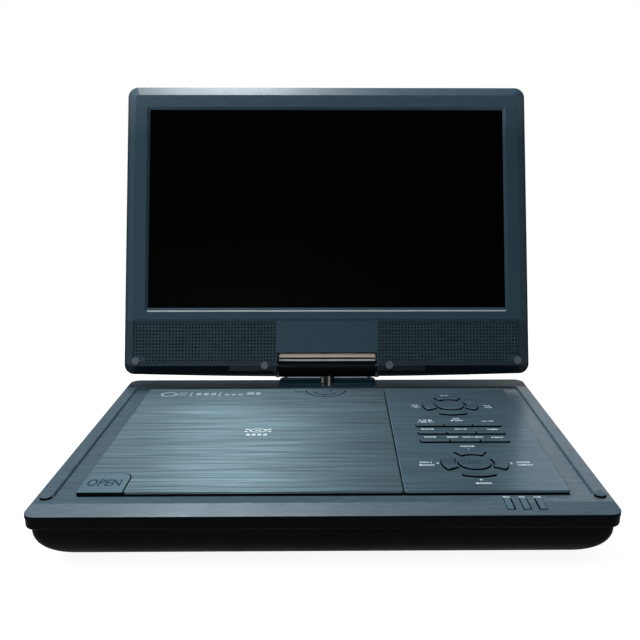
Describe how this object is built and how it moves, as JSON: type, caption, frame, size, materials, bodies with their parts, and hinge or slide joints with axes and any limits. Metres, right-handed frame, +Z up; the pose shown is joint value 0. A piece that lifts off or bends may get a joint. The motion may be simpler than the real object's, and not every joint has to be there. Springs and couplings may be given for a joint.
{
  "type": "portable blu-ray player",
  "caption": "Portable disc player: a widescreen display that swivels and tilts on a short post above a thin base with a disc lid, a key panel and side sockets.",
  "frame": {"origin": "middle of the underside of the bounding box at rest, with the rubber feet on the table at z = 0", "axes": "+X to the right across the screen and base, +Y to the back, where the screen post stands, +Z up"},
  "size_m": [0.2542, 0.2344, 0.2101],
  "materials": {
    "housing_paint": "dark blue-grey metallic paint on plastic, semi-gloss",
    "rear_plastic": "dark bronze-grey plastic, semi-gloss",
    "deck_plastic": "blue-grey metallic paint on plastic, satin",
    "lid_plate": "blue-grey with a fine brushed grain from side to side",
    "lower_plastic": "black moulded plastic, gloss",
    "black_plastic": "black moulded plastic, satin",
    "key_plastic": "blue-grey, brushed to match the panel",
    "display_glass": "black display face, gloss",
    "lens_plastic": "smoky clear plastic",
    "rubber": "dark rubber, matte",
    "board": "green circuit board",
    "steel": "plated steel, satin",
    "sled_metal": "die-cast light metal, satin",
    "battery_wrap": "black film wrap, satin"
  },
  "bodies": {
    "base": {"lower_case": "lower_plastic", "upper_case": "deck_plastic", "disc_well": "black_plastic", "control_panel": "lid_plate", "key_membrane": "rubber", "key_board": "board", "main_board": "board", "drive_chassis": "steel", "spindle_motor": "steel", "guide_rails": "steel", "sled_motor": "steel", "battery_pack": "battery_wrap", "battery_door": "lower_plastic", "rubber_feet": "rubber", "case_screws": "steel", "bumpers": "rubber", "swivel_bracket": "steel", "socket_panel": "black_plastic", "signal_jacks": "black_plastic", "dc_jack": "black_plastic", "usb_port": "steel", "indicator_lenses": "lens_plastic"},
    "swivel": {"swivel_shaft": "steel", "tilt_bracket": "steel", "hinge_cover_front": "black_plastic", "hinge_cover_rear": "black_plastic"},
    "screen": {"front_bezel": "housing_paint", "rear_cover": "rear_plastic", "lcd_panel": "display_glass", "panel_frame": "black_plastic", "speakers": "steel", "screw_caps": "rubber", "tilt_arms": "steel"},
    "lid": {"disc_lid": "lid_plate"},
    "open_button": {"open_button": "lid_plate"},
    "lid_latch": {"lid_latch": "black_plastic"},
    "turntable": {"turntable_hub": "black_plastic"},
    "lead_screw": {"lead_screw": "steel"},
    "sled": {"pickup_sled": "sled_metal"},
    "lens": {"lens_holder": "black_plastic"},
    "power_switch": {"power_switch": "black_plastic"},
    "key_back_left": {"key_back_left": "key_plastic"},
    "key_back_centre": {"key_back_centre": "key_plastic"},
    "key_back_right": {"key_back_right": "key_plastic"},
    "key_middle_left": {"key_middle_left": "key_plastic"},
    "key_middle_centre": {"key_middle_centre": "key_plastic"},
    "key_middle_right": {"key_middle_right": "key_plastic"},
    "key_front_left": {"key_front_left": "key_plastic"},
    "key_front_centre": {"key_front_centre": "key_plastic"},
    "key_front_right": {"key_front_right": "key_plastic"},
    "key_upper_right": {"key_upper_right": "key_plastic"},
    "key_upper_back": {"key_upper_back": "key_plastic"},
    "key_upper_left": {"key_upper_left": "key_plastic"},
    "key_upper_front": {"key_upper_front": "key_plastic"},
    "key_lower_right": {"key_lower_right": "key_plastic"},
    "key_lower_back": {"key_lower_back": "key_plastic"},
    "key_lower_left": {"key_lower_left": "key_plastic"},
    "key_lower_front": {"key_lower_front": "key_plastic"},
    "key_upper_middle": {"key_upper_middle": "key_plastic"},
    "key_lower_middle": {"key_lower_middle": "key_plastic"}
  },
  "joints": [
    {"name": "screen_swivel", "type": "hinge", "parent": "base", "child": "swivel", "pos_m": [0, 0.06022, 0.038], "axis": [0, 0, -1], "range_deg": [0, 180]},
    {"name": "screen_tilt", "type": "hinge", "parent": "swivel", "child": "screen", "pos_m": [0, 0.06022, 0.038], "axis": [1, 0, 0], "range_deg": [-73.2, 106.8]},
    {"name": "lid_hinge", "type": "hinge", "parent": "base", "child": "lid", "pos_m": [-0.0375, 0.04842, 0.0249], "axis": [1, 0, 0], "range_deg": [-55, 0]},
    {"name": "open_button_press", "type": "slide", "parent": "base", "child": "open_button", "axis": [0, 0, -1], "range_m": [0, 0.0012], "stiffness_N_per_m": 1500},
    {"name": "latch_slide", "type": "slide", "parent": "base", "child": "lid_latch", "axis": [0, 1, 0], "range_m": [0, 0.0012]},
    {"name": "turntable_spin", "type": "hinge", "parent": "base", "child": "turntable", "pos_m": [-0.0372, -0.02528, 0.021], "axis": [0, 0, 1], "continuous": true},
    {"name": "sled_travel", "type": "slide", "parent": "base", "child": "sled", "axis": [1, 0, 0], "range_m": [0, 0.032]},
    {"name": "lead_screw_turn", "type": "hinge", "parent": "base", "child": "lead_screw", "pos_m": [0.0028, -0.04748, 0.0156], "axis": [1, 0, 0], "range_deg": [0, 3841]},
    {"name": "lens_focus", "type": "slide", "parent": "sled", "child": "lens", "axis": [0, 0, 1], "range_m": [-0.0005, 0.0005], "stiffness_N_per_m": 60},
    {"name": "power_slide", "type": "slide", "parent": "base", "child": "power_switch", "axis": [0, 1, 0], "range_m": [0, 0.003]},
    {"name": "key_back_left_press", "type": "slide", "parent": "base", "child": "key_back_left", "axis": [0, 0, -1], "range_m": [0, 0.0005], "stiffness_N_per_m": 1500},
    {"name": "key_back_centre_press", "type": "slide", "parent": "base", "child": "key_back_centre", "axis": [0, 0, -1], "range_m": [0, 0.0005], "stiffness_N_per_m": 1500},
    {"name": "key_back_right_press", "type": "slide", "parent": "base", "child": "key_back_right", "axis": [0, 0, -1], "range_m": [0, 0.0005], "stiffness_N_per_m": 1500},
    {"name": "key_middle_left_press", "type": "slide", "parent": "base", "child": "key_middle_left", "axis": [0, 0, -1], "range_m": [0, 0.0005], "stiffness_N_per_m": 1500},
    {"name": "key_middle_centre_press", "type": "slide", "parent": "base", "child": "key_middle_centre", "axis": [0, 0, -1], "range_m": [0, 0.0005], "stiffness_N_per_m": 1500},
    {"name": "key_middle_right_press", "type": "slide", "parent": "base", "child": "key_middle_right", "axis": [0, 0, -1], "range_m": [0, 0.0005], "stiffness_N_per_m": 1500},
    {"name": "key_front_left_press", "type": "slide", "parent": "base", "child": "key_front_left", "axis": [0, 0, -1], "range_m": [0, 0.0005], "stiffness_N_per_m": 1500},
    {"name": "key_front_centre_press", "type": "slide", "parent": "base", "child": "key_front_centre", "axis": [0, 0, -1], "range_m": [0, 0.0005], "stiffness_N_per_m": 1500},
    {"name": "key_front_right_press", "type": "slide", "parent": "base", "child": "key_front_right", "axis": [0, 0, -1], "range_m": [0, 0.0005], "stiffness_N_per_m": 1500},
    {"name": "key_upper_right_press", "type": "slide", "parent": "base", "child": "key_upper_right", "axis": [0, 0, -1], "range_m": [0, 0.0005], "stiffness_N_per_m": 1500},
    {"name": "key_upper_back_press", "type": "slide", "parent": "base", "child": "key_upper_back", "axis": [0, 0, -1], "range_m": [0, 0.0005], "stiffness_N_per_m": 1500},
    {"name": "key_upper_left_press", "type": "slide", "parent": "base", "child": "key_upper_left", "axis": [0, 0, -1], "range_m": [0, 0.0005], "stiffness_N_per_m": 1500},
    {"name": "key_upper_front_press", "type": "slide", "parent": "base", "child": "key_upper_front", "axis": [0, 0, -1], "range_m": [0, 0.0005], "stiffness_N_per_m": 1500},
    {"name": "key_lower_right_press", "type": "slide", "parent": "base", "child": "key_lower_right", "axis": [0, 0, -1], "range_m": [0, 0.0005], "stiffness_N_per_m": 1500},
    {"name": "key_lower_back_press", "type": "slide", "parent": "base", "child": "key_lower_back", "axis": [0, 0, -1], "range_m": [0, 0.0005], "stiffness_N_per_m": 1500},
    {"name": "key_lower_left_press", "type": "slide", "parent": "base", "child": "key_lower_left", "axis": [0, 0, -1], "range_m": [0, 0.0005], "stiffness_N_per_m": 1500},
    {"name": "key_lower_front_press", "type": "slide", "parent": "base", "child": "key_lower_front", "axis": [0, 0, -1], "range_m": [0, 0.0005], "stiffness_N_per_m": 1500},
    {"name": "key_upper_middle_press", "type": "slide", "parent": "base", "child": "key_upper_middle", "axis": [0, 0, -1], "range_m": [0, 0.0005], "stiffness_N_per_m": 1500},
    {"name": "key_lower_middle_press", "type": "slide", "parent": "base", "child": "key_lower_middle", "axis": [0, 0, -1], "range_m": [0, 0.0005], "stiffness_N_per_m": 1500}
  ],
  "couplings": [
    {"joint": "lead_screw_turn", "follows": "sled_travel", "rad_per_m": 2094.4},
    {"joint": "latch_slide", "follows": "open_button_press", "ratio": 1}
  ]
}
